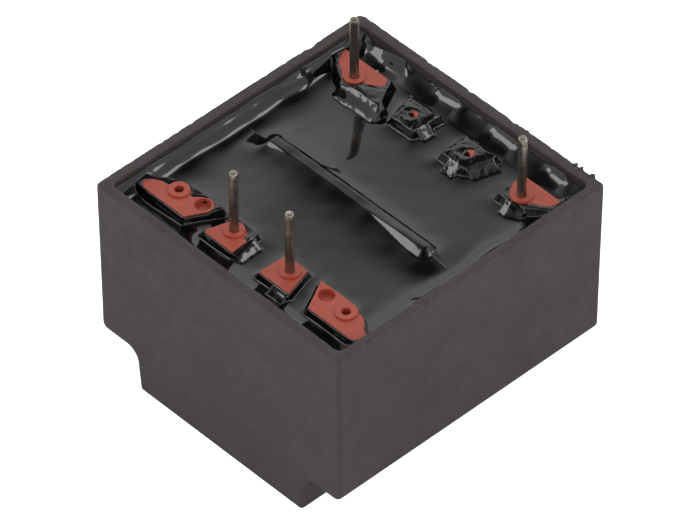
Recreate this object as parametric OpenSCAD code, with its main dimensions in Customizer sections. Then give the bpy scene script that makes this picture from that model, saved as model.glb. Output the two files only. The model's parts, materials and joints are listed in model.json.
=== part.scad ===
// Encapsulated mains transformer for a printed circuit board, lying on its
// closed face with the pins up. The closed face is z = 0 and the pins point
// along +Z. X runs along the pin rows, and Y from the secondary row (-Y) to
// the primary row (+Y). The origin is in the middle of the closed face.
// The sizes follow one chain: pin grid and core, then bobbin, then case.

/* [Pin grid] */
// Distance between neighbouring pin positions in a row
pin_pitch = 5; // [4.2:0.1:6.5]
// Distance between the two pin rows
row_spacing = 15; // [12.5:0.1:19]
// Diameter of a pin
pin_d = 0.6; // [0.4:0.05:0.8]
// Length of a pin above its terminal block
pin_above_block = 4.95; // [2:0.05:8]
// Radius of the bend that turns a pin into its winding tail, at its centreline
pin_bend_r = 0.6; // [0.5:0.05:0.8]
// Length of the winding tail outside its terminal block
tail_out = 1.3; // [0.8:0.05:2]
// Gap drawn round a pressed pin
pin_fit = 0.02; // [0.01:0.01:0.05]
// Sides of the coined stretch that grips the terminal block
pin_grip_sides = 8; // [4:1:12]
// Depth of a pin hole below the terminal block's top
pin_hole_depth = 3; // [1.8:0.1:4]

/* [Core] */
// Width of the centre leg
centre_leg = 6; // [4.5:0.1:9]
// Width of one outer leg
outer_leg = 3; // [2:0.1:4.5]
// Width of the yoke that joins the legs
yoke = 3; // [2:0.1:4.5]
// Width of one winding window
window_w = 4; // [3.2:0.1:6]
// Thickness of one lamination
lamination_t = 0.5; // [0.35:0.05:0.65]
// Number of laminations in the stack
lamination_count = 10; // [8:1:14]

/* [Bobbin] */
// Gap between the core's leg and the bobbin's bore
bore_gap = 0.1; // [0.05:0.01:0.2]
// Wall of the bobbin's tube
tube_wall = 0.6; // [0.4:0.05:1]
// Thickness of an end flange
flange_t = 0.7; // [0.5:0.05:1]
// Height of a flange over the tube, along Z
flange_reach_z = 2.47; // [1.8:0.01:3.5]
// Gap between a flange's side and the outer leg
flange_side_gap = 0.4; // [0.2:0.05:0.8]
// Gap between an end flange and the yoke
flange_end_gap = 0.1; // [0.05:0.01:0.2]
// Radius of a flange's corners
flange_corner_r = 0.6; // [0.3:0.05:0.9]
// Thickness of the partition between the two winding chambers
partition_t = 0.6; // [0.4:0.05:0.9]
// Half width of the partition where it rises over the core
partition_top_half = 6.9; // [5:0.1:8]
// Depth of the partition's top edge below the terminal blocks
partition_drop = 0.25; // [0.1:0.05:0.6]
// Distance from an end flange's outer face to its pin row
pin_to_flange = 0.6; // [0.4:0.05:1]
// Distance from a pin row to the outer face of its terminal bar
bar_out = 1.4; // [1.1:0.05:2]
// Gap between the core and the terminal bar over it
bar_gap = 0.2; // [0.1:0.05:0.4]
// Height of the terminal blocks over the end flanges
block_rise = 2.51; // [2:0.01:4]
// Depth of the wire slots between the terminal blocks
slot_depth = 1.55; // [1.2:0.05:2]
// Outer diameter of the ring boss round a pin position
boss_d = 1.4; // [1:0.05:1.8]
// Height of a ring boss
boss_h = 0.12; // [0.05:0.01:0.25]
// Distance from its pin to the inner side of the end block that is cut short
short_block_near = 1.2; // [1:0.05:1.9]
// Diameter of the ejector mark on an end block
ejector_d = 1.1; // [0.8:0.05:1.2]
// Distance of the ejector mark from its pin position, along X
ejector_x = 1.95; // [1.8:0.05:2.2]
// Distance of the ejector mark inside the pin row
ejector_y = 0.2; // [0:0.05:0.3]
// Depth of the ejector mark
ejector_depth = 0.35; // [0.1:0.05:0.6]

/* [Windings] */
// Depth of a winding's surface below the flange edge
coil_margin = 0.47; // [0.3:0.01:0.8]
// Corner radius that a winding takes on over the tube
coil_corner_r = 1.2; // [0.6:0.1:1.6]
// Thickness of the tape over a winding
tape_t = 0.1; // [0.05:0.01:0.15]
// Bare edge of a winding beside its tape, where its leads come out
tape_edge = 0.7; // [0.5:0.05:1]
// Diameter of the primary's lead wires
primary_wire_d = 0.14; // [0.1:0.01:0.3]
// Distance over which a lead wire turns a corner
lead_bend = 0.6; // [0.2:0.05:0.8]
// Diameter of the secondary's lead wires
secondary_wire_d = 0.2; // [0.1:0.01:0.3]
// Thickness of the solder over a pin's tail
solder_t = 0.22; // [0.1:0.01:0.25]
// Thickness of the solder at its ends, where it slopes down to the tail
solder_end_t = 0.08; // [0.04:0.01:0.1]
// Bare length of a tail at each end of its solder
solder_inset = 0.15; // [0.05:0.01:0.3]

/* [Case] */
// Thickness of the case wall
wall_t = 0.75; // [0.5:0.05:1.2]
// Draft of the case walls, in degrees
case_draft = 0.57; // [0.3:0.01:1.5]
// Draft of the two walls at the coil's sides, in degrees
step_draft = 5.57; // [3:0.01:8]
// Depth of the terminal blocks below the rim
block_below_rim = 0.75; // [0.5:0.05:1.2]
// Least gap from the core to the case wall, at the rim
core_case_gap = 0.2; // [0.2:0.05:0.6]
// Gap from the terminal bars' ends to the case wall
bar_case_gap = 0.45; // [0.3:0.05:1]
// Gap from the pins' winding tails to the case wall
tail_case_gap = 0.45; // [0.3:0.05:1]
// Gap from the flanges' sides to the wall beside them
flange_case_gap = 0.13; // [0.1:0.01:0.4]
// Gap under the bobbin and the core
floor_gap = 0.15; // [0.1:0.01:0.4]
// Radius of the upright edges outside
corner_r = 0.4; // [0.4:0.05:2]
// Radius of the upright edges inside
inner_corner_r = 0.4; // [0.3:0.05:0.8]
// Radius of the closed face's edges
edge_r = 0.35; // [0.2:0.05:0.5]
// Radius of the shoulder's outer edge
shoulder_r = 0.55; // [0.4:0.05:1.2]
// Radius of the fillet under the shoulder
fillet_r = 0.9; // [0.4:0.05:1.2]

/* [Potting] */
// Depth of the resin's open surface below the rim
resin_drop = 1.4; // [1:0.05:1.6]
// Height that the resin climbs at the case wall
wall_climb = 1.15; // [0.4:0.05:1.2]
// Height that the resin climbs at a terminal block that it leaves bare
block_climb = 0.52; // [0.2:0.02:0.6]
// Thickness of the resin over a block that it coats
block_coat = 0.3; // [0.2:0.02:0.4]
// Thickness of the resin over the partition
partition_coat = 0.2; // [0.1:0.02:0.4]
// Distance over which a meniscus falls away
meniscus = 0.5; // [0.3:0.05:1]
// Cells along one side of the resin's surface
resin_cells = 42; // [20:2:48]

/* [Hidden] */
$fn = 32;
thin = 0.01;
past = 1;
bend_steps = 3;
wire_sides = 6;

pin_r = pin_d / 2;
tube_x = centre_leg / 2 + bore_gap + tube_wall;
stack_h = lamination_t * lamination_count;
tube_z = stack_h / 2 + bore_gap + tube_wall;
flange_x = centre_leg / 2 + window_w - flange_side_gap;
flange_z = tube_z + flange_reach_z;
coil_build = min(flange_x - tube_x, flange_reach_z) - coil_margin;

// Along Y, from the pin row inwards
flange_outer_y = row_spacing / 2 - pin_to_flange;
flange_inner_y = flange_outer_y - flange_t;
window_y = flange_outer_y + flange_end_gap;
bar_outer_y = row_spacing / 2 + bar_out;
tail_end_y = bar_outer_y + tail_out;
core_x = centre_leg / 2 + window_w + outer_leg;
core_y = window_y + yoke;

// Along Z, from the closed face upwards
flange_z0 = wall_t + floor_gap;
axis_z = flange_z0 + flange_z;
core_z0 = axis_z - stack_h / 2;
core_z1 = axis_z + stack_h / 2;
shoulder_z = core_z0 - floor_gap - wall_t;
bar_z0 = core_z1 + bar_gap;
block_z = axis_z + flange_z + block_rise;
slot_z = block_z - slot_depth;
tail_z = slot_z + pin_r - thin;
case_h = block_z + block_below_rim;
partition_z = block_z - partition_drop;

// Outlines of the terminal blocks, measured from their pins along X. The
// wire slots between them lean, so each edge has an outer and an inner end.
inner_block_near = [1.3, 1.2];
inner_block_far = [1.35, 0.7];
end_block_near = [1.9, 3.1];
end_block_far = 2.25;
end_block_clip = [1.15, 0.85];
block_inset_y = 0.45;
bar_half = 1.5 * pin_pitch + end_block_far;
bar_inner_y = row_spacing / 2 - pin_to_flange - flange_t + block_inset_y;

// Case, half sizes inside and outside at the rim
cavity_x = max(core_x + core_case_gap, bar_half + bar_case_gap);
cavity_y = max(core_y + core_case_gap, tail_end_y + tail_case_gap);
case_x = cavity_x + wall_t;
case_y = cavity_y + wall_t;
step_x = flange_x + flange_case_gap + wall_t + (shoulder_z - flange_z0) * tan(step_draft);

resin_z = case_h - resin_drop;
pin_rows = [[-1, [-0.5, 0.5]], [1, [-1.5, 1.5]]];

function unit(v) = v / norm(v);

// Rounds the corner of a wire's route at p[i] with a curve of n steps
function bend(p, i, r, n) =
    let (a = p[i] + unit(p[i - 1] - p[i]) * r, b = p[i] + unit(p[i + 1] - p[i]) * r)
    [for (k = [0:n]) let (t = k / n) a * (1 - t) ^ 2 + 2 * p[i] * t * (1 - t) + b * t ^ 2];
function rounded(p, r, n) =
    concat([p[0]], [for (i = [1:len(p) - 2]) each bend(p, i, r, n)], [p[len(p) - 1]]);
function heading(p, i) = unit(p[min(i + 1, len(p) - 1)] - p[max(i - 1, 0)]);
function ring(c, t, r, n) =
    let (u = unit(cross(t, [1, -1, 1])), v = cross(t, u))
    [for (k = [0:n - 1]) c + r * (cos(360 * k / n) * u + sin(360 * k / n) * v)];

// Wire of diameter d along a route
module wire(route, d) {
    n = wire_sides;
    m = len(route);
    points = [for (i = [0:m - 1]) each ring(route[i], heading(route, i), d / 2, n)];
    sides = [for (i = [0:m - 2], k = [0:n - 1])
        let (a = i * n + k, b = i * n + (k + 1) % n)
        each [[a, a + n, b], [b, a + n, b + n]]];
    caps = [[for (k = [0:n - 1]) k], [for (k = [n - 1:-1:0]) (m - 1) * n + k]];
    polyhedron(points, concat(sides, caps), convexity = 4);
}

// Rectangle with round corners, or with sharp ones where r is 0
module rounded_rect(w, h, r) {
    square([w, h - 2 * r], center = true);
    square([w - 2 * r, h], center = true);
    if (r > 0)
        for (sx = [-1, 1], sy = [-1, 1])
            translate([sx * (w / 2 - r), sy * (h / 2 - r)]) circle(r);
}

// Plate that stands across Y from y0 to y1, round the coil's axis
module plate(w, h, r, y0, y1) {
    translate([0, y1, axis_z])
        rotate([90, 0, 0])
            linear_extrude(y1 - y0) rounded_rect(w, h, r);
}

// Upright block with draft and round edges, drawn in from the case by inset
module drafted_block(inset, r, z0, z1, edge) {
    hull() {
        for (sx = [-1, 1], sy = [-1, 1]) {
            drafted_corner(sx, sy, inset, r, 0, z1 - thin);
            for (a = [0:30:90])
                drafted_corner(sx, sy, inset, r, edge * (1 - cos(a)), z0 + edge * (1 - sin(a)));
        }
    }
}

module drafted_corner(sx, sy, inset, r, shrink, z) {
    lean = (case_h - z) * tan(case_draft);
    x = case_x - inset - lean - r;
    y = case_y - inset - lean - r;
    translate([sx * x, sy * y, z]) cylinder(r = r - shrink, h = thin);
}

// Space beside the coil and under the shoulder, as a section across Y
module step_space(inset) {
    z = shoulder_z + inset;
    lean = tan(step_draft);
    wall_x = step_x - inset;
    side_x = case_x - inset - (case_h - z) * tan(case_draft) + 2 * thin;
    reach = case_x + past;
    outside_r = max(shoulder_r - inset, 2 * thin);
    inside_r = fillet_r + inset;
    offset(r = -outside_r) offset(delta = outside_r)
        offset(r = inside_r) offset(delta = -inside_r)
            polygon([
                [wall_x, z],
                [wall_x - (z + 2 * past) * lean, -2 * past],
                [reach + past, -2 * past],
                [reach + past, z + 2 * past],
                [side_x, z + 2 * past],
                [side_x, z]
            ]);
}

// The case's form, drawn in by inset, from z0 up to z1
module case_form(inset, r, z0, z1) {
    difference() {
        drafted_block(inset, r, z0, z1, edge_r);
        for (side = [0, 1])
            mirror([side, 0, 0])
                rotate([90, 0, 0])
                    linear_extrude(2 * (case_y + past), center = true) step_space(inset);
    }
}

module case() {
    color("#3a3836")
        difference() {
            case_form(0, corner_r, 0, case_h);
            case_form(wall_t, inner_corner_r, wall_t, case_h + past);
        }
}

// Plan of one terminal bar on the -Y side, with its ends clipped
module bar_plan() {
    for (side = [0, 1])
        mirror([side, 0, 0])
            polygon([
                [0, -bar_outer_y],
                [bar_half, -bar_outer_y],
                [bar_half, -bar_inner_y - end_block_clip[1] - block_inset_y],
                [bar_half - end_block_clip[0], -bar_inner_y - block_inset_y],
                [bar_half - end_block_far, -bar_inner_y],
                [0, -bar_inner_y]
            ]);
}

// Plan of the wire slots that part the bar into four blocks
module slot_plan() {
    inner = pin_pitch / 2;
    end = 1.5 * pin_pitch;
    y0 = -bar_outer_y;
    y1 = -bar_inner_y;
    polygon([
        [-inner + inner_block_near[0], y0 - past],
        [inner - inner_block_near[0], y0 - past],
        [inner - inner_block_near[0], y0],
        [inner - inner_block_near[1], y1],
        [inner - inner_block_near[1], y1 + past],
        [-inner + inner_block_near[1], y1 + past],
        [-inner + inner_block_near[1], y1],
        [-inner + inner_block_near[0], y0]
    ]);
    for (side = [0, 1])
        mirror([side, 0, 0])
            polygon([
                [inner + inner_block_far[0], y0 - past],
                [end - end_block_near[0], y0 - past],
                [end - end_block_near[0], y0],
                [end - end_block_near[1], y1],
                [end - end_block_near[1], y1 + past],
                [inner + inner_block_far[1], y1 + past],
                [inner + inner_block_far[1], y1],
                [inner + inner_block_far[0], y0]
            ]);
}

// One terminal bar on the -Y side, with four blocks and their ring bosses
module terminal_bar() {
    translate([0, 0, bar_z0]) linear_extrude(slot_z - bar_z0) bar_plan();
    translate([-flange_x, -flange_outer_y, bar_z0])
        cube([2 * flange_x, flange_t, slot_z - bar_z0]);
    translate([0, 0, slot_z])
        linear_extrude(block_z - slot_z)
            difference() {
                bar_plan();
                slot_plan();
            }
    for (i = [-1.5:1:1.5])
        translate([i * pin_pitch, -row_spacing / 2, block_z - thin])
            cylinder(d = boss_d, h = boss_h + thin);
}

// What is missing from the end block at the +X end of the primary's bar
module short_block_cut() {
    end = 1.5 * pin_pitch;
    x0 = end - max(end_block_near) - thin;
    translate([x0, bar_inner_y - past, slot_z])
        cube([end - short_block_near - x0, bar_outer_y - bar_inner_y + 2 * past, slot_depth + past]);
}

// The bobbin's outer form, with its bore and holes still closed
module bobbin_form() {
    translate([-tube_x, -flange_inner_y, axis_z - tube_z])
        cube([2 * tube_x, 2 * flange_inner_y, 2 * tube_z]);
    for (y = [-flange_outer_y, flange_inner_y])
        plate(2 * flange_x, 2 * flange_z, flange_corner_r, y, y + flange_t);
    plate(2 * flange_x, 2 * flange_z, flange_corner_r, -partition_t / 2, partition_t / 2);
    translate([-partition_top_half, -partition_t / 2, bar_z0])
        cube([2 * partition_top_half, partition_t, partition_z - bar_z0]);
    difference() {
        for (side = [0, 1])
            mirror([0, side, 0]) terminal_bar();
        short_block_cut();
    }
}

module bobbin() {
    bore = [centre_leg + 2 * bore_gap, 2 * flange_outer_y + 2 * past, stack_h + 2 * bore_gap];
    color("#a8483c")
        difference() {
            bobbin_form();
            translate([0, 0, axis_z]) cube(bore, center = true);
            for (row = [-1, 1], i = [-1.5:1:1.5])
                at_pin(row, i) pin_seat();
            for (row = [-1, 1], side = [-1, 1])
                if (row < 0 || side < 0)
                    translate([
                        side * (1.5 * pin_pitch - ejector_x),
                        row * (row_spacing / 2 - ejector_y),
                        block_z - ejector_depth
                    ]) cylinder(d = ejector_d, h = past);
        }
}

// Places a pin: its tail's axis at the origin, pointing along -Y
module at_pin(row, i) {
    translate([i * pin_pitch, row * row_spacing / 2, tail_z])
        rotate([0, 0, row > 0 ? 180 : 0]) children();
}

// Bend and winding tail of a pin
module pin_tail(r) {
    translate([0, -pin_bend_r, pin_bend_r])
        rotate([0, 90, 0])
            rotate_extrude(angle = 90) translate([pin_bend_r, 0]) circle(r);
    translate([0, -pin_bend_r, 0])
        rotate([90, 0, 0]) cylinder(r = r, h = bar_out + tail_out - pin_bend_r);
}

// Space that a pin takes in its terminal block
module pin_seat() {
    r = pin_r + pin_fit;
    translate([0, 0, block_z - pin_hole_depth - tail_z]) cylinder(r = r, h = pin_hole_depth + past);
    pin_tail(r);
}

// Pin with a coined grip in its block, a round free end, a bend and a tail
module pin(row, i) {
    free_z = block_z + boss_h - tail_z;
    end_z = block_z + pin_above_block - tail_z;
    chamfer = pin_r / 2;
    color("#b9b4a8")
        at_pin(row, i) {
            pin_tail(pin_r);
            translate([0, 0, pin_bend_r])
                cylinder(r = pin_r, h = free_z - pin_bend_r, $fn = pin_grip_sides);
            translate([0, 0, free_z]) cylinder(r = pin_r, h = end_z - chamfer - free_z);
            translate([0, 0, end_z - chamfer])
                cylinder(r1 = pin_r, r2 = pin_r - chamfer, h = chamfer);
        }
}

// Solder round a pin's tail, a barrel that slopes down at both ends
module solder_form() {
    half = tail_out / 2 - solder_inset;
    slope = solder_t - solder_end_t;
    translate([0, -bar_out - tail_out / 2, 0])
        rotate([90, 0, 0])
            rotate_extrude()
                polygon([
                    [pin_r, -half],
                    [pin_r + solder_end_t, -half],
                    [pin_r + solder_t, slope - half],
                    [pin_r + solder_t, half - slope],
                    [pin_r + solder_end_t, half],
                    [pin_r, half]
                ]);
}

module solder(row, i, wire_d) {
    color("#c4c6c8")
        difference() {
            at_pin(row, i) solder_form();
            lead(row, sign(i), abs(i), wire_d);
        }
}

// Lead of a winding: up beside the flange, out through the wire slot and
// along the bar to the tail of the pin that is i pitches from the middle
module lead(row, side, i, d) {
    slot_in = pin_pitch + (inner_block_far[1] - end_block_near[1]) / 2;
    slot_out = pin_pitch + (inner_block_far[0] - end_block_near[0]) / 2;
    up_y = -flange_inner_y + tape_edge / 2;
    tail_y = -bar_outer_y - tail_out / 2;
    end_x = i * pin_pitch + sign(1 - i) * (pin_r + d);
    route = [
        [slot_in, up_y, axis_z + tube_z + coil_build / 2],
        [slot_in, up_y, slot_z + d],
        [slot_out, tail_y, slot_z + d],
        [end_x, tail_y, tail_z]
    ];
    mirror([side > 0 ? 0 : 1, 0, 0])
        mirror([0, row > 0 ? 1 : 0, 0])
            wire(rounded(route, lead_bend, bend_steps), d);
}

// Ring round the coil's axis from y0 to y1, with a plain or a round opening
module band(inner, inner_r, outer, outer_r, y0, y1) {
    difference() {
        plate(2 * (tube_x + outer), 2 * (tube_z + outer), outer_r, y0, y1);
        plate(2 * (tube_x + inner), 2 * (tube_z + inner), inner_r, y0 - past, y1 + past);
    }
}

module winding(row, i, wire_d) {
    color("#b5713c") {
        mirror([0, row > 0 ? 0 : 1, 0])
            band(0, 0, coil_build, coil_corner_r, partition_t / 2, flange_inner_y);
        for (side = [-1, 1])
            lead(row, side, i, wire_d);
    }
}

module tape(row) {
    color("#c9a53a")
        mirror([0, row > 0 ? 0 : 1, 0])
            band(coil_build, coil_corner_r, coil_build + tape_t, coil_corner_r + tape_t,
                partition_t / 2 + tape_edge / 2, flange_inner_y - tape_edge);
}

// Plan of one E sheet, with its legs ending at y = 0
module e_plan(row) {
    mirror([0, row > 0 ? 0 : 1, 0])
        difference() {
            translate([-core_x, 0]) square([2 * core_x, core_y]);
            for (x = [-core_x + outer_leg, centre_leg / 2])
                translate([x, -past]) square([window_w, window_y + past]);
        }
}

module lamination(row, i) {
    color("#8c8f92")
        translate([0, 0, core_z0 + (i - 1) * lamination_t])
            linear_extrude(lamination_t) e_plan(row);
}

module core_form() {
    translate([0, 0, core_z0])
        for (row = [-1, 1])
            linear_extrude(stack_h) e_plan(row);
}

// Everything that the resin flows round, with the bobbin's holes closed
module filled_space() {
    bobbin_form();
    core_form();
    for (row = [-1, 1])
        mirror([0, row > 0 ? 0 : 1, 0]) {
            plate(2 * (tube_x + coil_build), 2 * (tube_z + coil_build), coil_corner_r,
                partition_t / 2, flange_inner_y);
            plate(2 * (tube_x + coil_build + tape_t), 2 * (tube_z + coil_build + tape_t),
                coil_corner_r + tape_t, partition_t / 2 + tape_edge / 2,
                flange_inner_y - tape_edge);
        }
    for (row = pin_rows, i = row[1]) {
        at_pin(row[0], i) {
            pin_tail(pin_r);
            solder_form();
        }
        lead(row[0], sign(i), abs(i), row[0] > 0 ? primary_wire_d : secondary_wire_d);
    }
}

// Spacing that crowds towards both ends, for t from -1 to 1
function crowd(t) = (t + sin(90 * t)) / 2;

// Share of a climb that is left at distance d from what the resin climbs
function fall(d) = exp(-max(d, 0) / meniscus);

// Distance to a terminal block whose far and near sides are x0 and x1
function block_distance(x, y, x0, x1) =
    norm([max(x0 - x, x - x1, 0), max(bar_inner_y - abs(y), abs(y) - bar_outer_y, 0)]);

// Height of the resin's open surface
function resin_height(x, y) =
    let (
        inner = pin_pitch / 2,
        end = 1.5 * pin_pitch,
        wall = wall_climb * fall(min(cavity_x - abs(x), cavity_y - abs(y))),
        near = x > 0 && y > 0 ? short_block_near : end_block_near[0],
        ends = block_climb * fall(block_distance(abs(x), y, end - near, bar_half)),
        d = block_distance(abs(x), y, inner - inner_block_near[0], inner + inner_block_far[0]),
        inners = y < 0 ? block_climb * fall(d)
            : (block_z + block_coat - resin_z) * fall(d - meniscus),
        over = norm([max(abs(x) - partition_top_half, 0), y]) - partition_t / 2,
        ridge = (partition_z + partition_coat - resin_z) * fall(over - meniscus / 2)
    )
    resin_z + max(wall, ends, inners, ridge);

// Block whose upper face is the resin's open surface
module resin_block() {
    n = resin_cells;
    reach_x = cavity_x + wall_t / 2;
    reach_y = cavity_y + wall_t / 2;
    places = [for (i = [0:n]) crowd(2 * i / n - 1)];
    top = [for (i = [0:n], j = [0:n])
        let (x = reach_x * places[i], y = reach_y * places[j]) [x, y, resin_height(x, y)]];
    edge = concat(
        [for (i = [0:n - 1]) i * (n + 1)],
        [for (j = [0:n - 1]) n * (n + 1) + j],
        [for (i = [n:-1:1]) i * (n + 1) + n],
        [for (j = [n:-1:1]) j]
    );
    m = len(edge);
    low = [for (k = edge) [top[k][0], top[k][1], -past]];
    b = len(top);
    faces_top = [for (i = [0:n - 1], j = [0:n - 1])
        let (a = i * (n + 1) + j) each [[a, a + 1, a + n + 2], [a, a + n + 2, a + n + 1]]];
    faces_side = [for (k = [0:m - 1])
        let (l = (k + 1) % m)
        each [[edge[k], edge[l], b + l], [edge[k], b + l, b + k], [b + m, b + k, b + l]]];
    polyhedron(concat(top, low, [[0, 0, -past]]), concat(faces_top, faces_side), convexity = 6);
}

module potting_compound() {
    color("#1c1c1e")
        difference() {
            intersection() {
                case_form(wall_t, inner_corner_r, wall_t, case_h + past);
                resin_block();
            }
            filled_space();
        }
}

layers = [1:lamination_count];
rows = [["front", -1], ["back", 1]];
sides = [["left", -1], ["right", 1]];

case();
potting_compound();
bobbin();
for (s = sides) {
    pin(-1, s[1] / 2);
    pin(1, s[1] * 1.5);
    solder(-1, s[1] / 2, secondary_wire_d);
    solder(1, s[1] * 1.5, primary_wire_d);
}
winding(-1, 0.5, secondary_wire_d);  // secondary_winding
winding(1, 1.5, primary_wire_d);  // primary_winding
tape(-1);  // secondary_tape
tape(1);  // primary_tape
for (r = rows, i = layers)
    lamination(r[1], i);
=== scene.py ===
# %% [markdown]
# # A potted transformer, looked at closely
# A small mains transformer lies on its closed face with its pins up. Its case is a moulded
# cup, filled nearly to the rim with black resin. Six blocks of a red bobbin stand out of
# the resin, and four of them carry a pin. Every length below is in millimetres until it is
# handed to Blender, which works in metres here.

import json
import math

import bmesh
import bpy
import numpy as np
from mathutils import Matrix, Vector


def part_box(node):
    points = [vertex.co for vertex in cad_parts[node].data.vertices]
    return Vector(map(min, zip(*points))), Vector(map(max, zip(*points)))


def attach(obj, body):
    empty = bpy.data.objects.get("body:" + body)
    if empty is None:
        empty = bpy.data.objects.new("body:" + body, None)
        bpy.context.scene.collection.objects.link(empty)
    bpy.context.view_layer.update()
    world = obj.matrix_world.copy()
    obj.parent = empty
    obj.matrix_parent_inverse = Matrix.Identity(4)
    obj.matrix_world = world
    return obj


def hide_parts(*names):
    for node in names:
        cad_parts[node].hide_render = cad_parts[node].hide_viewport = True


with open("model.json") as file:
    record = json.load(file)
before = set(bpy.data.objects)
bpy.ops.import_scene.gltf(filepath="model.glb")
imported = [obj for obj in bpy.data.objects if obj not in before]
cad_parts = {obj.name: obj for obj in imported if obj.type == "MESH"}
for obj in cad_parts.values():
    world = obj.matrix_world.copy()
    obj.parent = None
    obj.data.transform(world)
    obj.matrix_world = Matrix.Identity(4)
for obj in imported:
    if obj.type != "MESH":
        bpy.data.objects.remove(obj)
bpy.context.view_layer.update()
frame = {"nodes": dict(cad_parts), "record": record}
MM = 0.001

# %% [markdown]
# ## Small tools
# A piece is a table of points and a list of faces. Natural unevenness comes from sums of
# sine waves with fixed random phases, so that it is the same at every run.

# %% mesh and noise tools
def linear(code):
    parts = [int(code[i:i + 2], 16) / 255 for i in (1, 3, 5)]
    return tuple(c / 12.92 if c <= 0.04045 else ((c + 0.055) / 1.055) ** 2.4 for c in parts)


def piece(name, points, faces, smooth=True):
    mesh = bpy.data.meshes.new(name)
    mesh.from_pydata((np.asarray(points) * MM).tolist(), [], [list(map(int, f)) for f in faces])
    mesh.validate()
    mesh.polygons.foreach_set("use_smooth", [smooth] * len(mesh.polygons))
    made = bpy.data.objects.new(name, mesh)
    bpy.context.scene.collection.objects.link(made)
    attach(made, "root")
    return made


def waves(seed, shortest, longest, count=14):
    """A smooth random surface as a function of x and y, about -1 to 1 high."""
    rng = np.random.default_rng(seed)
    turn = rng.uniform(0, 2 * math.pi, count)
    size = 2 * math.pi / np.exp(rng.uniform(math.log(shortest), math.log(longest), count))
    phase = rng.uniform(0, 2 * math.pi, count)

    def height(x, y=0.0):
        out = 0.0
        for t, k, p in zip(turn, size, phase):
            out = out + np.sin(k * (x * math.cos(t) + y * math.sin(t)) + p)
        return out * math.sqrt(2 / count) / 1.6

    return height


def smooth_step(a, b, x):
    t = np.clip((x - a) / (b - a), 0, 1)
    return t * t * (3 - 2 * t)


def outline_distance(x, y, outline):
    """How far points lie from a closed outline: negative inside."""
    best = np.full(np.shape(x), 1e9)
    inside = np.zeros(np.shape(x), bool)
    for (ax, ay), (bx, by) in zip(outline, np.roll(outline, -1, axis=0)):
        ex, ey = bx - ax, by - ay
        t = np.clip(((x - ax) * ex + (y - ay) * ey) / (ex * ex + ey * ey), 0, 1)
        best = np.minimum(best, np.hypot(x - ax - t * ex, y - ay - t * ey))
        crosses = (ay > y) != (by > y)
        inside ^= crosses & (x < ax + (y - ay) * ex / (ey if ey else 1e-9))
    return np.where(inside, -best, best)


def line_distance(x, y, path):
    """How far points lie from an open line."""
    best = np.full(np.shape(x), 1e9)
    for (ax, ay), (bx, by) in zip(path[:-1], path[1:]):
        ex, ey = bx - ax, by - ay
        t = np.clip(((x - ax) * ex + (y - ay) * ey) / (ex * ex + ey * ey), 0, 1)
        best = np.minimum(best, np.hypot(x - ax - t * ex, y - ay - t * ey))
    return best


def node_points(node):
    vertices = frame["nodes"][node].data.vertices
    co = np.empty(len(vertices) * 3)
    vertices.foreach_get("co", co)
    return co.reshape(-1, 3) * 1000


# %% [markdown]
# ## Sizes out of the frame
# The case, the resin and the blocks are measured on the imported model, so the looks follow
# the part when a size changes.

# %% measure
case_low, case_high = (np.array(v) * 1000 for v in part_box("case"))
HALF_X, HALF_Y, RIM_Z = case_high
case_points = node_points("case")
resin_points = node_points("potting_compound")
bobbin_points = node_points("bobbin")
FOOT_X = np.abs(case_points[case_points[:, 2] < 0.01][:, 0]).max()
SHOULDER_Z = case_points[np.abs(case_points[:, 0]) > FOOT_X + 1.5][:, 2].min()
edge_points = case_points[(case_points[:, 2] > RIM_Z - 0.02) & (case_points[:, 1] > HALF_Y - 0.01)]
CORNER_R = HALF_X - np.abs(edge_points[:, 0]).max()
RESIN_X, RESIN_Y = np.abs(resin_points[:, 0]).max(), np.abs(resin_points[:, 1]).max()
WALL = 0.75
INNER_R = 0.4
PAD_Z = 14.75
LEVEL = 14.1
print("case half sizes", HALF_X, HALF_Y, "corner", CORNER_R.round(3), "shoulder", SHOULDER_Z, "foot", FOOT_X)
print("resin half sizes", RESIN_X, RESIN_Y)


def hull(points):
    """The convex outline round points in the plan, anticlockwise."""
    order = sorted({(round(float(p[0]), 3), round(float(p[1]), 3)) for p in points})
    chains = []
    for run in (order, order[::-1]):
        chain = []
        for p in run:
            while len(chain) > 1 and ((chain[-1][0] - chain[-2][0]) * (p[1] - chain[-2][1])
                                      - (chain[-1][1] - chain[-2][1]) * (p[0] - chain[-2][0])) <= 0:
                chain.pop()
            chain.append(p)
        chains += chain[:-1]
    return np.array(chains)


pad_points = bobbin_points[np.abs(bobbin_points[:, 2] - PAD_Z) < 0.02]
pads = {}
for row, side in (("front", -1), ("back", 1)):
    for place, x0, x1 in ((1, -20, -4.1), (2, -4.1, 0), (3, 0, 4.1), (4, 4.1, 20)):
        mine = pad_points[(pad_points[:, 1] * side > 6) & (pad_points[:, 0] > x0) & (pad_points[:, 0] < x1)]
        pads[row, place] = hull(mine)
        print("block", row, place, pads[row, place].round(2).tolist())

# %% [markdown]
# ## The moulded case
# The case is one closed skin. Its outline is followed round in steps of 0.1 mm, so the rim
# can carry the nicks and flash that moulding and handling leave. Two profiles follow the
# steps under its ends, and plain flat faces close the sides. The same recipe, drawn in by
# one wall, makes the inside.

# %% case tools
DRAFT = math.tan(math.radians(0.57))
FOOT_LEAN = math.radians(5.57)
STEP = 0.1


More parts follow.
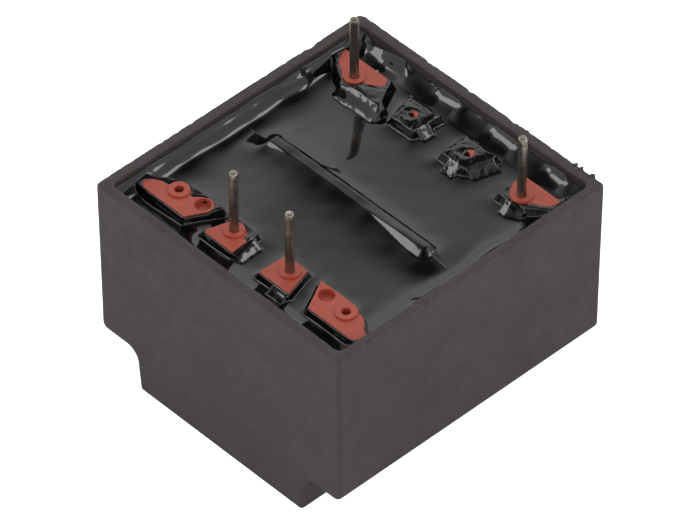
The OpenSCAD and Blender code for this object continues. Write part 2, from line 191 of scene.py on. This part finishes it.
def quarter(half_x, half_y, r, split):
    """Points and outward normals from the middle of the -Y side to the middle of the +X side."""
    n = (int(round(split / STEP)), int(round((HALF_X - 8) / STEP)), 10,
         int(round((HALF_Y - 0.4) / STEP)))
    x = np.concatenate([np.linspace(0, split, n[0], endpoint=False),
                        np.linspace(split, half_x - r, n[1], endpoint=False)])
    turn = np.linspace(0, math.pi / 2, n[2] + 1)
    y = np.linspace(-(half_y - r), 0, n[3] + 1)[1:]
    px = np.concatenate([x, half_x - r + r * np.sin(turn), np.full(len(y), half_x)])
    py = np.concatenate([np.full(len(x), -half_y), -(half_y - r) - r * np.cos(turn), y])
    nx = np.concatenate([np.zeros(len(x)), np.sin(turn), np.ones(len(y))])
    ny = np.concatenate([-np.ones(len(x)), -np.cos(turn), np.zeros(len(y))])
    return np.stack([px, py, nx, ny]), n


def ring(half_x, half_y, r, split):
    """The whole outline, anticlockwise from the middle of the -Y side."""
    q, n = quarter(half_x, half_y, r, split)
    up = q[:, ::-1] * np.array([[1], [-1], [1], [-1]])
    out = np.concatenate([q[:, :-1], up[:, :-1]], axis=1)
    return np.concatenate([out, out * -1], axis=1), n


def end_profile(half_x, shoulder_z, foot_x, r_out, r_in, r_edge, z_top, z_low):
    """x, z, normal x, normal z and edge rounding down one end, to the bottom."""
    rows = []
    wall_x = lambda z: half_x - DRAFT * (RIM_Z - z)
    z_arc = shoulder_z + r_out
    for z in (z_top - 0.6, (z_top + z_arc) / 2, z_arc + 1.4, z_arc + 0.7, z_arc + 0.15):
        rows.append((wall_x(z), z, 1, 0))
    x_arc = wall_x(z_arc) - r_out
    for a in np.linspace(0, math.pi / 2, 9):
        rows.append((x_arc + r_out * math.cos(a), z_arc - r_out * math.sin(a), math.cos(a), -math.sin(a)))
    top_x = foot_x + (shoulder_z - r_in) * math.tan(FOOT_LEAN)
    for x in np.linspace(x_arc - 0.1, top_x + r_in + 0.1, 4):
        rows.append((x, shoulder_z, 0, -1))
    for b in np.linspace(0, math.pi / 2 - FOOT_LEAN, 9):
        rows.append((top_x + r_in - r_in * math.sin(b), shoulder_z - r_in + r_in * math.cos(b),
                     math.sin(b), -math.cos(b)))
    z_edge = z_low + r_edge
    for z in np.linspace(shoulder_z - r_in, z_edge, 4)[1:-1]:
        rows.append((foot_x + z * math.tan(FOOT_LEAN), z, math.cos(FOOT_LEAN), -math.sin(FOOT_LEAN)))
    x_edge = foot_x + z_low * math.tan(FOOT_LEAN) - r_edge * 0.1
    for a in np.linspace(FOOT_LEAN, math.pi / 2, 6):
        rows.append((x_edge - r_edge + r_edge * math.cos(a) + 0.06, z_edge - r_edge * math.sin(a),
                     math.cos(a), -math.sin(a)))
    return np.array(rows, float)


def corner_round(z, shoulder_z, wide, narrow):
    return narrow + (wide - narrow) * smooth_step(shoulder_z + 0.9, shoulder_z + 3.2, z)


def cup(half_x, half_y, r, r_low, shoulder_z, foot_x, radii, z_top, z_low, count, faces_out):
    """The closed lower part below an outline ring: its points, and faces that start at index count."""
    outline, n = ring(half_x, half_y, r, SPLIT)
    total = outline.shape[1]
    first = n[0] + n[1]
    profile = end_profile(half_x, shoulder_z, foot_x, *radii, z_top, z_low)
    columns = np.arange(first, total // 2 - first + 1)
    points, faces, grid = [], [], {}
    for side in (1, -1):
        index = (columns + (0 if side > 0 else total // 2)) % total
        cx = np.abs(outline[2, index])
        cy = outline[3, index]
        share = outline[1, index] / (half_y - r)
        table = [index + count[0]]
        for x, z, nx, nz in profile:
            rr = float(corner_round(z, shoulder_z, r, r_low))
            hy = half_y - DRAFT * (RIM_Z - z)
            flat_y = np.clip(share, -1, 1) * (hy - rr)
            px = side * (x - rr * nx * (1 - cx))
            pz = z - rr * nz * (1 - cx)
            points.append(np.stack([px, flat_y + rr * cy, pz], axis=1))
            table.append(np.arange(len(index)) + count[1])
            count[1] += len(index)
        grid[side] = np.array(table)
        t = grid[side]
        faces += [(t[i, j], t[i + 1, j], t[i + 1, j + 1], t[i, j + 1])
                  for i in range(t.shape[0] - 1) for j in range(t.shape[1] - 1)]
    plus, minus = grid[1], grid[-1]
    turn = n[2]
    low_side = np.concatenate([np.arange(total - first, total), np.arange(0, first + 1)]) + count[0]
    high_side = np.arange(total // 2 - first, total // 2 + first + 1) + count[0]
    flats = [list(low_side[::-1]) + list(minus[1:, -1]) + list(plus[1:, 0][::-1]),
             list(high_side[::-1]) + list(plus[1:, -1]) + list(minus[1:, 0][::-1]),
             list(plus[-1, turn:-turn]) + list(minus[-1, turn:-turn])]
    strips = [(minus[-1, -1 - k], plus[-1, k], plus[-1, k + 1], minus[-1, -2 - k]) for k in range(turn)]
    strips += [(plus[-1, -1 - k], minus[-1, k], minus[-1, k + 1], plus[-1, -2 - k]) for k in range(turn)]
    faces += strips
    flat_from = len(faces)
    faces += flats
    if not faces_out:
        faces = [tuple(f[::-1]) for f in faces]
    return np.concatenate(points), faces, flat_from


SPLIT = 7.2
outline, parts_n = ring(HALF_X, HALF_Y, CORNER_R, SPLIT)
inline, _ = ring(HALF_X - WALL, HALF_Y - WALL, INNER_R, SPLIT)
around = outline.shape[1]
along = np.concatenate([[0], np.cumsum(np.hypot(*np.diff(outline[:2], axis=1)))])
print("outline points", around, "length", along[-1].round(1), "mm")

# %% [markdown]
# ## The rim
# The rim was cut or moulded a little roughly: its face is not quite flat, its outer edge
# has small nicks, and a few crumbs of flash still hang on near one corner.

# %% rim rows
Z_OUT, Z_IN = 13.5, 13.0
EDGE = 0.1
rows = [(0.0, z, 1.0, 0.0) for z in
        (Z_OUT, 14.0, 14.3, 14.6, 14.8, 14.95, 15.05, 15.13, 15.2, 15.26, 15.31, 15.36)]
for a in np.linspace(0, math.pi / 2, 6):
    rows.append((EDGE * (1 - math.cos(a)), RIM_Z - EDGE + EDGE * math.sin(a), math.cos(a), math.sin(a)))
for o in np.linspace(EDGE, WALL - EDGE, 11)[1:-1]:
    rows.append((o, RIM_Z, 0.0, 1.0))
for a in np.linspace(0, math.pi / 2, 6):
    rows.append((WALL - EDGE + EDGE * math.sin(a), RIM_Z - EDGE + EDGE * math.cos(a), -math.sin(a), math.cos(a)))
rows += [(WALL, z, -1.0, 0.0) for z in (15.36, 15.3, 15.22, 15.12, 15.0, 14.85, 14.65, 14.4, 14.1, 13.6, Z_IN)]
rows = np.array(rows)

fine, broad, lip, face = (waves(k, a, b, c) for k, a, b, c in
                          ((3, 0.35, 1.2, 22), (4, 2.0, 9.0, 10), (5, 0.3, 2.5, 22), (6, 0.25, 1.5, 24)))
rng = np.random.default_rng(11)
nick_at = rng.uniform(0, along[-1], 46)
nick_deep = rng.uniform(0.03, 0.11, 46) * rng.uniform(0.3, 1, 46)
nick_wide = rng.uniform(0.08, 0.3, 46)
nicks = sum(d * np.exp(-((along - at) / w) ** 2) for at, d, w in zip(nick_at, nick_deep, nick_wide))
wear = 0.012 + 0.016 * np.clip(fine(along) + 0.4 * broad(along), 0, 2) + nicks
inner_wear = 0.01 + 0.02 * np.clip(lip(along + 40), 0, 2)
crumbs = np.zeros(around)
for x, size, height in ((8.35, 0.09, 0.13), (8.85, 0.1, 0.12), (9.85, 0.12, 0.15), (4.1, 0.07, 0.05)):
    crumbs += height * np.exp(-((outline[0] - x) ** 2 + (outline[1] - HALF_Y) ** 2) / size ** 2)
print("deepest nick", nicks.max().round(3), "rows", len(rows))

# %% build the case
points = []
for depth, z, out, up in rows:
    f = depth / WALL
    base = outline[:2] * (1 - f) + inline[:2] * f
    normal = outline[2:]
    sink = DRAFT * (RIM_Z - z)
    to_outer = math.hypot(depth, RIM_Z - z)
    to_inner = math.hypot(WALL - depth, RIM_Z - z)
    near_out, near_in = math.exp(-(to_outer / 0.16) ** 2), math.exp(-(to_inner / 0.14) ** 2)
    inward = sink + wear * near_out - inner_wear * near_in - crumbs * near_out * 1.6
    top = 0.008 * up * face(along, depth * 3) + 0.012 * up * broad(along + 7)
    top = top - 0.9 * wear * near_out - 0.7 * inner_wear * near_in + 0.9 * crumbs * math.exp(-(to_outer / 0.25) ** 2)
    skin_noise = 0.004 * face(along, z * 1.3) * (1 - up) * smooth_step(Z_OUT, Z_OUT + 0.5, z)
    points.append(np.stack([base[0] - normal[0] * (inward - skin_noise),
                            base[1] - normal[1] * (inward - skin_noise), z + top], axis=1))
grid = np.arange(len(rows) * around).reshape(len(rows), around)
faces = [(grid[i, j], grid[i, (j + 1) % around], grid[i + 1, (j + 1) % around], grid[i + 1, j])
         for i in range(len(rows) - 1) for j in range(around)]
counter = [0, grid.size]
outside, out_faces, _ = cup(HALF_X, HALF_Y, CORNER_R, 0.3, SHOULDER_Z, FOOT_X, (0.55, 0.9, 0.3),
                            Z_OUT, 0.0, counter, True)
counter[0] = grid[-1, 0]
inside, in_faces, _ = cup(HALF_X - WALL, HALF_Y - WALL, INNER_R, 0.3, SHOULDER_Z + WALL, FOOT_X - WALL,
                          (0.3, 0.9 + WALL, 0.2), Z_IN, WALL, counter, False)
case = piece("moulded_case", np.concatenate(points + [outside, inside]), faces + out_faces + in_faces)
bm = bmesh.new()
bm.from_mesh(case.data)
bmesh.ops.recalc_face_normals(bm, faces=bm.faces[:])
for f in bm.faces:
    f.smooth = len(f.verts) < 5 and f.calc_area() < 4e-6
print("open edges in the case", sum(not e.is_manifold for e in bm.edges), "faces", len(bm.faces))
bm.to_mesh(case.data)
bm.free()
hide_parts("case")

# %% [markdown]
# ## The resin
# The resin was poured as a liquid, so its surface is flat and glassy but climbs whatever it
# touches: the wall, the blocks and the partition between the two coils. Each of those adds
# a height, and the heights run together smoothly. Where a block's face stayed dry, the
# surface dips just below the red plastic.

# %% plan of the pour
DRY = {
    ("front", 1): [(-9.7, -8.5), (-9.3, -8.86), (-8.6, -8.93), (-5.5, -8.98), (-5.3, -8.75), (-5.05, -8.3),
                   (-4.85, -7.5), (-4.85, -7.1), (-5.0, -6.8), (-5.6, -6.62), (-6.2, -7.0), (-6.4, -7.25),
                   (-6.75, -7.38), (-6.85, -7.05), (-7.2, -6.85), (-7.8, -6.85), (-8.15, -7.15), (-8.3, -7.62),
                   (-8.9, -7.72), (-9.35, -7.98), (-9.62, -8.3)],
    ("front", 2): [(-3.72, -8.6), (-3.65, -9.0), (-1.0, -9.0), (-1.05, -8.3), (-1.15, -7.62), (-1.55, -7.6),
                   (-1.68, -7.35), (-1.72, -7.1), (-2.2, -6.9), (-2.75, -6.95), (-3.3, -7.15), (-3.4, -7.5),
                   (-3.55, -8.0)],
    ("front", 3): [(1.1, -9.0), (4.05, -9.0), (3.8, -7.9), (3.4, -6.9), (3.2, -6.55), (1.75, -6.52),
                   (1.3, -6.9), (1.2, -8.0)],
    ("front", 4): [(4.3, -6.6), (4.6, -6.55), (7.2, -6.55), (7.7, -6.72), (8.05, -6.98), (8.5, -7.02),
                   (8.8, -7.22), (9.2, -7.7), (9.6, -7.86), (9.85, -8.0), (9.85, -8.45), (9.55, -8.8),
                   (9.3, -8.9), (5.65, -8.98), (5.1, -7.9)],
    ("back", 1): [(-9.85, 9.0), (-6.2, 9.0), (-5.85, 8.75), (-5.65, 8.35), (-5.75, 8.15), (-6.1, 7.9),
                  (-6.65, 7.62), (-7.1, 7.45), (-7.2, 7.0), (-7.6, 6.85), (-8.05, 6.95), (-8.45, 7.35),
                  (-8.95, 7.62), (-9.3, 7.92), (-9.62, 8.4)],
    ("back", 4): [(6.25, 9.0), (9.5, 9.0), (9.55, 8.4), (9.3, 8.02), (8.85, 7.75), (8.45, 7.58),
                  (8.15, 7.2), (7.9, 6.9), (7.4, 6.78), (7.0, 6.95), (6.75, 7.25), (6.5, 7.6), (6.3, 8.2)],
}
FILM = 0.05
RIDGE_Z = 14.62
ridge_points = bobbin_points[(np.abs(bobbin_points[:, 1]) < 0.5) & (bobbin_points[:, 2] > 14.4)]
RIDGE_X = np.abs(ridge_points[:, 0]).max()
print("partition half length", RIDGE_X, "dry faces", len(DRY))


def spaced(bands):
    """Plan lines across the resin: each band runs from one place to the next at its own step."""
    out = [np.linspace(a, b, max(int(round((b - a) / step)), 1), endpoint=False) for a, b, step in bands]
    return np.concatenate(out + [[bands[-1][1]]])


def both_ways(bands, half):
    """The same bands on both sides of the middle."""
    edges = [(a, half if b is None else b, step) for a, b, step in bands]
    return [(-b, -a, step) for a, b, step in edges[::-1]] + edges


xs = spaced(both_ways([(0, 1.0, 0.1), (1.0, 4.0, 0.06), (4.0, 8.6, 0.075), (8.6, None, 0.05)], RESIN_X))
ys = spaced(both_ways([(0, 1.4, 0.065), (1.4, 5.6, 0.12), (5.6, 6.9, 0.05), (6.9, 8.6, 0.075), (8.6, None, 0.05)], RESIN_Y))
gx, gy = np.meshgrid(xs, ys)
CORNER = INNER_R
cx = np.clip(np.abs(gx), 0, RESIN_X - CORNER)
cy = np.clip(np.abs(gy), 0, RESIN_Y - CORNER)
off = np.hypot(np.abs(gx) - cx, np.abs(gy) - cy)
in_corner = (np.abs(gx) > RESIN_X - CORNER) & (np.abs(gy) > RESIN_Y - CORNER)
pull = np.where(in_corner & (off > CORNER), CORNER / np.maximum(off, 1e-6), 1.0)
gx = np.where(in_corner, np.sign(gx) * (cx + (np.abs(gx) - cx) * pull), gx)
gy = np.where(in_corner, np.sign(gy) * (cy + (np.abs(gy) - cy) * pull), gy)
dx, dy = RESIN_X - np.abs(gx), RESIN_Y - np.abs(gy)
wall_gap = np.where(in_corner, np.maximum(CORNER - np.hypot(np.abs(gx) - cx, np.abs(gy) - cy), 0), np.minimum(dx, dy))
print("resin grid", gx.shape)

# %% height of the pour
slow, mid, small, rough = (waves(k, a, b, c) for k, a, b, c in
                           ((21, 5, 14, 10), (22, 1.2, 4, 16), (23, 0.5, 1.6, 22), (24, 0.18, 0.5, 30)))


def soft_max(a, b, k):
    return 0.5 * (a + b + np.sqrt((a - b) ** 2 + k * k))


def in_box(x, y, x0, x1, y0, y1, soft=0.15):
    return (smooth_step(x0 - soft, x0 + soft, x) * smooth_step(x1 + soft, x1 - soft, x)
            * smooth_step(y0 - soft, y0 + soft, y) * smooth_step(y1 + soft, y1 - soft, y))


def clings(gap, reach, power=2.2):
    return 1 / (1 + (np.maximum(gap, 0) / reach) ** power)


# Along the +Y wall the resin climbs steeply only in places.
steep_here = sum(in_box(gx, gy, x0, x1, 9, 11, 0.5) for x0, x1 in
                 ((-11, -9.2), (-7.6, -5.6), (-3, -0.8), (1.8, 4.2), (6.8, 8.6)))
far_wall = smooth_step(9.2, 9.9, gy)
lazy = far_wall * (1 - np.clip(steep_here, 0, 1))
climb = (0.95 + 0.05 * slow(gx * 2, gy * 2)) * (1 - 0.25 * lazy)
fall = (0.6 + 0.07 * slow(gx * 2 + 30, gy * 2)) * (1 + 0.7 * lazy)
rises = [climb * np.exp(-wall_gap / fall)]

# Sides where the resin ran down in a slope instead of hanging as a thin skin
SLOPES = (("front", 2, -1.2, 0.2, -8.9, -6.9, 0.9), ("front", 3, 2.5, 3.9, -10, -8.8, 0.85),
          ("back", 2, -1.4, 0.2, 6.9, 8.0, 0.95), ("back", 3, 3.1, 5.0, 6.7, 8.7, 0.85),
          ("back", 3, 1.9, 3.0, 5.5, 6.7, 0.85), ("back", 4, 7.0, 8.6, 5.4, 6.8, 0.85),
          ("back", 1, -8, -4, 5.4, 7.2, 1.0))
for key, pad in pads.items():
    gap = outline_distance(gx, gy, pad) + 0.015 * mid(gx, gy + 9)
    edge_film = 0.03 + 0.02 * (1 + small(gx, gy))
    if key in DRY:
        dry = outline_distance(gx, gy, np.array(DRY[key]))
        film = np.where(dry > 0, edge_film * smooth_step(0, 0.12, dry) + 0.03 * smooth_step(0.1, 0.5, dry), -0.03)
        if key == ("back", 1):
            film = film + 0.12 * smooth_step(0.1, 0.8, dry)
    else:
        px, py = (1 if pad[:, 0].mean() > 0 else -1) * 2.5, 7.5
        centre = np.hypot(gx - px, gy - py)
        film = 0.05 + 0.13 * smooth_step(0.05, -0.35, gap) + 0.05 * np.exp(-((centre - 0.6) / 0.2) ** 2)
        film = film - 0.3 * smooth_step(0.42, 0.1, np.hypot(gx - px - 0.1, gy - py - 0.25) + 0.04 * small(gx, gy))
        film = film + 0.02 * small(gx, gy) + 0.008 * rough(gx, gy)
    steep = 2.6 + 0 * gx
    for row, place, x0, x1, y0, y1, slope in SLOPES:
        if (row, place) == key:
            steep = steep + (slope - steep) * in_box(gx, gy, x0, x1, y0, y1, 0.1)
    height = PAD_Z + film - LEVEL
    side = height - steep * np.maximum(gap, 0)
    foot_rise = (0.13 + 0.03 * mid(gx + 3, gy)) * np.exp(-np.maximum(gap, 0) / 0.6)
    rises.append(np.where(gap < 0, height, soft_max(side, foot_rise, 0.04)))

# The partition: its -Y side runs out broadly, and a drop of resin stands at its +X end.
ridge_gap = np.hypot(np.maximum(np.abs(gx + 0.15) - RIDGE_X, 0), np.maximum(np.abs(gy - 0.1) - 0.3, 0))
lip_u = smooth_step(1.0, 6.4, gx)
high = RIDGE_Z - LEVEL + 0.01 * mid(gx, gy) + 0.2 * lip_u * smooth_step(0.9, 0.0, gy)
drop = 0.36 * lip_u
south = ((high - drop) * (1 - lip_u) * np.exp(-ridge_gap / 1.1) + (high - drop) * lip_u * np.exp(-(ridge_gap / 1.5) ** 2)
         + drop * np.clip(1 - ridge_gap * 0.62 / np.maximum(drop, 1e-3), 0, 1))
north = high * (0.72 * clings(ridge_gap, 0.26, 2.0) + 0.28 * np.exp(-ridge_gap / 1.6))
rises.append(np.where(gy < 0.1, south, north))
together = sum(np.maximum(r, 0) ** 3 for r in rises) ** (1 / 3)
# The pour settled in shallow basins: it rises from the -X wall towards the middle.
basin = 0.28 * smooth_step(-9.2, -2.5, gx) - 0.28 + 0.05 * smooth_step(2, -6, gy)
top = LEVEL + together + basin * smooth_step(0.6, 0.2, together) + 0.012 * slow(gx, gy) + 0.002 * mid(gx, gy)
for key in DRY:
    dry = outline_distance(gx, gy, np.array(DRY[key]))
    gap = outline_distance(gx, gy, pads[key])
    sunk = PAD_Z - 0.03 - 0.5 * smooth_step(0, -0.14, np.maximum(dry, gap))
    top = np.where((dry < 0) & (gap < 0), sunk, top)
print("resin from", top.min().round(2), "to", top.max().round(2))

# %% build the resin
rows_n, cols_n = gx.shape
index = np.arange(rows_n * cols_n).reshape(rows_n, cols_n)
points = np.stack([gx.ravel(), gy.ravel(), top.ravel()], axis=1)
a, b, c, d = (index[:-1, :-1].ravel(), index[:-1, 1:].ravel(), index[1:, 1:].ravel(), index[1:, :-1].ravel())
faces = np.stack([a, b, c, d], axis=1).tolist()
border = np.concatenate([index[0, :-1], index[:-1, -1], index[-1, :0:-1], index[:0:-1, 0]])
BOTTOM = 3.0
low = points[border].copy()
low[:, 2] = BOTTOM
low_index = len(points) + np.arange(len(border))
faces += [(int(border[(k + 1) % len(border)]), int(border[k]), int(low_index[k]),
           int(low_index[(k + 1) % len(border)])) for k in range(len(border))]
faces.append(low_index[::-1].tolist())
resin = piece("poured_resin", np.concatenate([points, low]), faces)
bm = bmesh.new()
bm.from_mesh(resin.data)
bmesh.ops.remove_doubles(bm, verts=bm.verts[:], dist=1e-7)
bmesh.ops.recalc_face_normals(bm, faces=bm.faces[:])
print("open edges in the resin", sum(not e.is_manifold for e in bm.edges), "faces", len(bm.faces))
bm.to_mesh(resin.data)
bm.free()
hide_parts("potting_compound")

# %% [markdown]
# ## The pins
# Each pin is a straight piece of tinned wire. It was cut with pliers and dipped in solder,
# which left a rounded, slightly swollen tip and an uneven skin.

# %% build the pins
SIDES = 28
pin_pieces = []
for number, node in enumerate(("secondary_pin_left", "secondary_pin_right",
                               "primary_pin_left", "primary_pin_right")):
    low, high = (np.array(v) * 1000 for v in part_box(node))
    wire = node_points(node)
    shaft = wire[wire[:, 2] > 16]
    mid_x, mid_y = (shaft[:, :2].max(0) + shaft[:, :2].min(0)) / 2
    r = (shaft[:, 0].max() - shaft[:, 0].min()) / 2
    lump = waves(60 + number, 0.5, 2.2, 14)
    grain = waves(70 + number, 0.12, 0.4, 20)
    tip = high[2]
    start = low[2] + r
    end_y = low[1] if mid_y < 0 else high[1]
    rings = []
    for y in np.linspace(end_y, mid_y + np.sign(end_y - mid_y) * 0.5, 6):
        rings.append(((mid_x, y, start), (0, -np.sign(end_y), 0), r))
    for t in np.linspace(0, math.pi / 2, 7)[1:]:
        side = np.sign(end_y)
        centre = (mid_x, mid_y + side * 0.5 * (1 - math.sin(t)), start + 0.5 * (1 - math.cos(t)))
        rings.append((centre, (0, -side * math.cos(t), math.sin(t)), r))
    swell = 0.035
    for z in np.linspace(start + 0.6, tip - 0.62, 46):
        rings.append(((mid_x, mid_y, z), (0, 0, 1), r * (1 + 0.012 * lump(z))))
    for t in np.linspace(0, 1, 16):
        z = tip - 0.6 + 0.6 * math.sin(t * math.pi / 2)
        bulge = r * (1 + swell * math.sin(min(t * 1.9, 1) * math.pi) + 0.012 * lump(z))
        rings.append(((mid_x, mid_y, z), (0, 0, 1), bulge * max(1 - t ** 5.0, 0.0) ** 0.5))
    points, faces = [], []
    for centre, ahead, radius in rings:
        ahead = Vector(ahead).normalized()
        first = Vector((1, 0, 0))
        second = ahead.cross(first)
        for k in range(SIDES):
            a = 2 * math.pi * k / SIDES
            bump = 1 + 0.012 * float(grain(a * r * 2, centre[2]))
            p = Vector(centre) + (first * math.cos(a) + second * math.sin(a)) * max(radius, 0.01) * bump
            points.append(tuple(p))
    for i in range(len(rings) - 1):
        for k in range(SIDES):
            n = (k + 1) % SIDES
            faces.append((i * SIDES + k, i * SIDES + n, (i + 1) * SIDES + n, (i + 1) * SIDES + k))
    faces.append(list(range(SIDES))[::-1])
    faces.append(list(range(len(points) - SIDES, len(points))))
    made = piece("pin_" + node, points, faces)
    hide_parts(node)
    pin_pieces.append(made)
    print(node, "at", round(float(mid_x), 2), round(float(mid_y), 2), "radius", round(float(r), 3), "tip", round(float(tip), 2))

# %% [markdown]
# ## Finishes
# Each finish is a few nodes over one surface shader. Pattern sizes are real sizes: a noise
# of scale per_mm(0.5) has features about half a millimetre across.

# %% material tools
def per_mm(size):
    return 1000 / size


def new_material(name):
    made = bpy.data.materials.new(name)
    made.use_nodes = True
    made.node_tree.nodes.clear()
    return made


def add(material, kind, inputs=None, **settings):
    made = material.node_tree.nodes.new("ShaderNode" + kind)
    for key, value in settings.items():
        setattr(made, key, value)
    for key, value in (inputs or {}).items():
        if isinstance(value, bpy.types.NodeSocket):
            material.node_tree.links.new(value, made.inputs[key])
        else:
            made.inputs[key].default_value = value
    return made


def noise(material, size, detail=3.0, rough_=0.5, offset=(0, 0, 0), stretch=(1, 1, 1)):
    """A noise value whose features are about size millimetres across."""
    place = add(material, "TexCoord")
    moved = add(material, "Mapping", {"Vector": place.outputs["Object"], "Location": offset, "Scale": stretch})
    return add(material, "TexNoise", {"Vector": moved.outputs["Vector"], "Scale": per_mm(size),
                                      "Detail": detail, "Roughness": rough_}).outputs["Fac"]


def ramp(material, value, stops):
    """Colours or greys along a value from 0 to 1."""
    made = add(material, "ValToRGB", {"Fac": value})
    spots = made.color_ramp.elements
    while len(spots) < len(stops):
        spots.new(0.5)
    for spot, (at, colour) in zip(spots, stops):
        spot.position = at
        spot.color = (*linear(colour), 1) if isinstance(colour, str) else (colour, colour, colour, 1)
    return made.outputs["Color"]


def bump(material, height, depth, strength=1.0, normal=None):
    """Shading bump: depth in millimetres."""
    inputs = {"Height": height, "Distance": depth * MM, "Strength": strength}
    if normal:
        inputs["Normal"] = normal
    return add(material, "Bump", inputs).outputs["Normal"]


def surface(material, **inputs):
    names = {key.replace("_", " "): value for key, value in inputs.items()}
    shader = add(material, "BsdfPrincipled", names)
    out = add(material, "OutputMaterial", {"Surface": shader.outputs["BSDF"]})
    return shader, out


# %% case plastic
plastic = new_material("black_thermoplastic")
mottle = ramp(plastic, noise(plastic, 2.5, 5, 0.6), ((0.35, "#36312f"), (0.65, "#3e3837")))
grain_n = bump(plastic, noise(plastic, 0.12, 4, 0.6), 0.006)
grain_n = bump(plastic, noise(plastic, 1.1, 2, 0.5), 0.01, normal=grain_n)
plastic_rough = ramp(plastic, noise(plastic, 0.7, 4, 0.6), ((0.3, 0.5), (0.7, 0.66)))
surface(plastic, Base_Color=mottle, Roughness=plastic_rough, Normal=grain_n)

# %% resin
epoxy = new_material("black_epoxy_resin")
epoxy_rough = ramp(epoxy, noise(epoxy, 3.0, 4, 0.6), ((0.4, 0.03), (0.75, 0.09)))
surface(epoxy, Base_Color=(*linear("#0a0a0e"), 1), Roughness=epoxy_rough, IOR=1.5)

# %% bobbin plastic
red = new_material("red_polyester_moulding")
tone = ramp(red, noise(red, 1.4, 4, 0.6), ((0.3, "#a54735"), (0.7, "#b14e39")))
red_n = bump(red, noise(red, 0.25, 3, 0.5), 0.004)
surface(red, Base_Color=tone, Roughness=0.42, Normal=red_n)

# %% pins
tin = new_material("tarnished_tinned_wire")
patch = noise(tin, 0.6, 5, 0.65, stretch=(1, 1, 0.4))
tin_tone = ramp(tin, patch, ((0.3, "#5b5247"), (0.5, "#8d8578"), (0.7, "#b9b3a9")))
tin_rough = ramp(tin, patch, ((0.35, 0.5), (0.65, 0.28)))
surface(tin, Base_Color=tin_tone, Metallic=1.0, Roughness=tin_rough,
        Normal=bump(tin, noise(tin, 0.2, 3, 0.6), 0.01))

# %% hidden parts
bright_solder = new_material("soft_solder")
surface(bright_solder, Base_Color=ramp(bright_solder, noise(bright_solder, 0.5), ((0.3, "#a8a7a4"), (0.7, "#c4c3c0"))),
        Metallic=1.0, Roughness=0.35)
copper = new_material("enamelled_copper")
surface(copper, Base_Color=ramp(copper, noise(copper, 0.4), ((0.3, "#8f3f1f"), (0.7, "#b35a2d"))),
        Metallic=1.0, Roughness=0.3)
tape = new_material("yellow_polyester_tape")
surface(tape, Base_Color=ramp(tape, noise(tape, 1.5), ((0.3, "#b58a1c"), (0.7, "#c99b25"))), Roughness=0.35)
steel = new_material("silicon_steel")
surface(steel, Base_Color=ramp(steel, noise(steel, 0.8), ((0.3, "#6a6b6d"), (0.7, "#86878a"))),
        Metallic=1.0, Roughness=0.45)


def finish_with(obj, material):
    obj.data.materials.clear()
    obj.data.materials.append(material)


finish_with(case, plastic)
finish_with(resin, epoxy)
for made in pin_pieces:
    finish_with(made, tin)
by_slot = {"case_plastic": plastic, "potting_resin": epoxy, "bobbin_plastic": red, "tinned_wire": tin,
           "solder": bright_solder, "winding_copper": copper, "winding_tape": tape, "core_steel": steel}
for part in frame["record"]["subparts"]:
    finish_with(frame["nodes"][part["node"]], by_slot[part["material_slot"]])
print("finishes", len(by_slot))

# %% [markdown]
# ## Light and camera
# Two softboxes stand to the camera's left and right. The surroundings are white low down
# and dark overhead, which is what a glossy black surface shows most.

# %% stage
floor = piece("floor", [(-900, -900, 0), (900, -900, 0), (900, 900, 0), (-900, 900, 0)], [(0, 1, 2, 3)], False)
paper = new_material("white_paper")
ray = add(paper, "LightPath")
shader = add(paper, "BsdfPrincipled", {"Base Color": (0.9, 0.9, 0.9, 1), "Roughness": 0.9,
                                       "Emission Color": (1, 1, 1, 1),
                                       "Emission Strength": ray.outputs["Is Camera Ray"]})
add(paper, "OutputMaterial", {"Surface": shader.outputs["BSDF"]})
finish_with(floor, paper)

world = bpy.data.worlds.new("light_tent")
world.use_nodes = True
world.node_tree.nodes.clear()
place = add(world, "TexCoord")
axes = add(world, "SeparateXYZ", {"Vector": place.outputs["Generated"]})
tent = ramp(world, axes.outputs["Z"], ((0.0, 0.9), (0.35, 1.1), (0.55, 1.5), (0.69, 0.97), (0.8, 0.42), (0.87, 0.08), (1.0, 0.08)))
path = add(world, "LightPath")
shade = add(world, "Background", {"Color": tent, "Strength": 1.0})
seen = add(world, "Background", {"Color": (1, 1, 1, 1), "Strength": 1.0})
mixed = add(world, "MixShader", {"Fac": path.outputs["Is Camera Ray"], 1: shade.outputs[0], 2: seen.outputs[0]})
add(world, "OutputWorld", {"Surface": mixed.outputs[0]})
bpy.context.scene.world = world

BACK = Vector((0.521, -0.497, 0.694)).normalized()
RIGHT = Vector((-BACK.y, BACK.x, 0)).normalized()
TARGET = Vector((5.03, -4.82, RIM_Z)) * MM


def softbox(name, direction, distance, width, height, power):
    data = bpy.data.lights.new(name, "AREA")
    data.shape, data.size, data.size_y, data.energy = "RECTANGLE", width, height, power
    made = bpy.data.objects.new(name, data)
    direction = Vector(direction).normalized()
    made.location = Vector((0, 0, 0.01)) + direction * distance
    made.rotation_mode = "QUATERNION"
    made.rotation_quaternion = direction.to_track_quat("Z", "Y")
    bpy.context.scene.collection.objects.link(made)
    return made


lift = Vector((0, 0, 0.8))
softbox("softbox_right", RIGHT + lift, 0.7, 0.21, 0.21, 0.62)
softbox("softbox_left", -RIGHT + lift, 0.7, 0.21, 0.21, 0.62)

camera_data = bpy.data.cameras.new("camera")
camera_data.lens, camera_data.sensor_width = 436.3, 36
camera_data.clip_start, camera_data.clip_end = 0.05, 5
camera = bpy.data.objects.new("camera", camera_data)
camera.location = TARGET + BACK * 519.8 * MM
camera.rotation_mode = "QUATERNION"
camera.rotation_quaternion = (-BACK).to_track_quat("-Z", "Y")
bpy.context.scene.collection.objects.link(camera)
bpy.context.scene.camera = camera
bpy.context.scene.view_settings.view_transform = "Standard"
